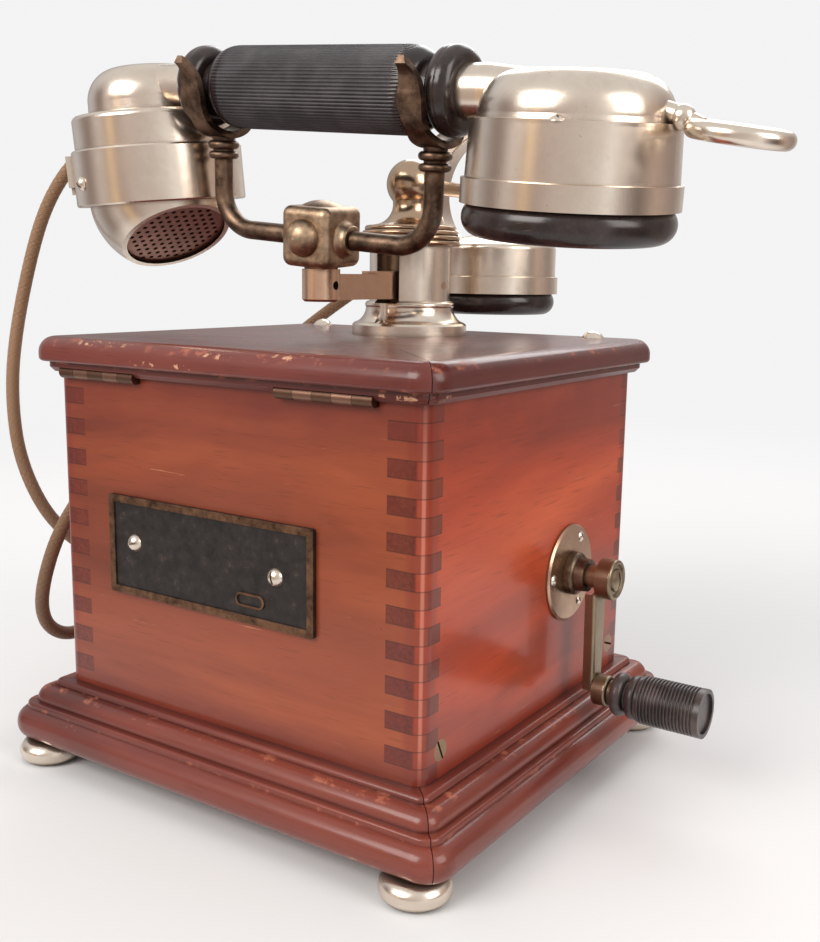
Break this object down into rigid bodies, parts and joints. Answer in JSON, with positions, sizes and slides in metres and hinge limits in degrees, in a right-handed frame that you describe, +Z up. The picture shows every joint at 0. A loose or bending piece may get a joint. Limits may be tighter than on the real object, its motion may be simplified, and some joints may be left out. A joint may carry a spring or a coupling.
{
  "type": "magneto desk telephone",
  "caption": "Desk telephone in a finger-jointed wooden box, with a hand crank, a handset in a forked cradle on a column, and a second receiver.",
  "frame": {"origin": "on the table, under the middle of the telephone's outline without its cords", "axes": "+X towards the crank side, -Y towards the nameplate and the hinges, +Z up"},
  "size_m": [0.3062, 0.2124, 0.2524],
  "materials": {
    "panel_wood": "varnished mahogany",
    "moulding_wood": "dark varnished mahogany",
    "lid_wood": "glossy dark mahogany",
    "nickel": "polished nickel plate",
    "warm_nickel": "nickel worn through to brass",
    "worn_bronze": "dull patinated bronze",
    "grille_metal": "browned brass",
    "ebonite": "polished ebonite",
    "ribbed_ebonite": "finely ribbed ebonite",
    "name_plate": "blackened field, bare brass rim",
    "hinge_metal": "tarnished brass",
    "magnet_iron": "nickelled magnet steel",
    "brass": "satin brass",
    "steel": "bare steel",
    "coil_wrap": "green silk covering",
    "strip_wood": "oiled hardwood",
    "braid": "braided cotton"
  },
  "bodies": {
    "box": {"base_moulding": "moulding_wood", "base_board": "moulding_wood", "feet": "nickel", "front_panel": "panel_wood", "rear_panel": "panel_wood", "left_panel": "panel_wood", "right_panel": "panel_wood", "panel_screws": "nickel", "nameplate": "name_plate", "nameplate_screws": "nickel", "hinge_box_leaves": "hinge_metal", "cord_glands": "brass", "escutcheon": "nickel", "escutcheon_screws": "nickel", "shaft_bush": "warm_nickel", "magneto_frame": "brass", "magneto_magnets": "magnet_iron", "induction_coil": "coil_wrap", "terminal_strip": "strip_wood", "handset_cord_lower": "braid", "aux_cord_lower": "braid"},
    "lid": {"lid_moulding": "lid_wood", "lid_panel": "lid_wood", "lid_screws": "nickel", "hinge_lid_leaves": "hinge_metal", "column": "nickel", "column_cap": "warm_nickel", "lever_pivot_pin": "warm_nickel", "aux_hook_arm": "warm_nickel", "switch_springs": "brass"},
    "plunger": {"switch_plunger": "brass"},
    "cradle": {"hook_lever": "warm_nickel", "cradle_block": "worn_bronze", "block_caps": "worn_bronze", "fork_rod": "worn_bronze", "saddles": "worn_bronze"},
    "handset": {"handle_grip": "ribbed_ebonite", "handle_beads": "ebonite", "handle_tube": "steel", "receiver_body": "nickel", "receiver_case": "nickel", "receiver_cap": "ebonite", "receiver_diaphragm": "steel", "hanging_loop": "nickel", "transmitter_body": "nickel", "transmitter_band": "nickel", "mouthpiece": "nickel", "mouth_grille": "grille_metal", "transmitter_capsule": "coil_wrap", "handset_screws": "nickel", "handset_cord_upper": "braid"},
    "second_receiver": {"aux_case": "nickel", "aux_cap": "ebonite", "aux_ring": "magnet_iron", "aux_cord_upper": "braid"},
    "crank": {"crank_shaft": "warm_nickel", "drive_gear": "brass", "crank_arm": "worn_bronze"},
    "crank_grip": {"crank_grip": "ebonite"},
    "armature": {"armature": "steel"}
  },
  "joints": [
    {"name": "lid_hinge", "type": "hinge", "parent": "box", "child": "lid", "pos_m": [-0.02107, -0.08975, 0.141], "axis": [1, 0, 0], "range_deg": [0, 95]},
    {"name": "hook_lever", "type": "hinge", "parent": "lid", "child": "cradle", "pos_m": [-0.02107, 0.01575, 0.1715], "axis": [-1, 0, 0], "range_deg": [0, 6], "stiffness_Nm_per_rad": 2, "springref_deg": 6},
    {"name": "switch_plunger", "type": "slide", "parent": "lid", "child": "plunger", "axis": [0, 0, -1], "range_m": [0, 0.0006]},
    {"name": "handset_lift", "type": "slide", "parent": "cradle", "child": "handset", "axis": [0.0872, -0.0868, 0.9924], "range_m": [0, 0.045]},
    {"name": "second_receiver_lift_off", "type": "slide", "parent": "lid", "child": "second_receiver", "axis": [0, 1, 0], "range_m": [0, 0.03]},
    {"name": "crank_turn", "type": "hinge", "parent": "box", "child": "crank", "pos_m": [-0.02107, 0.00375, 0.074], "axis": [1, 0, 0], "continuous": true},
    {"name": "grip_spin", "type": "hinge", "parent": "crank", "child": "crank_grip", "pos_m": [-0.02107, 0.00375, 0.034], "axis": [1, 0, 0], "continuous": true},
    {"name": "armature_spin", "type": "hinge", "parent": "box", "child": "armature", "pos_m": [-0.02107, 0.00375, 0.046], "axis": [1, 0, 0], "continuous": true}
  ],
  "couplings": [
    {"joint": "armature_spin", "follows": "crank_turn", "ratio": -3.6667},
    {"joint": "switch_plunger", "follows": "hook_lever", "m_per_rad": 0.0052}
  ]
}
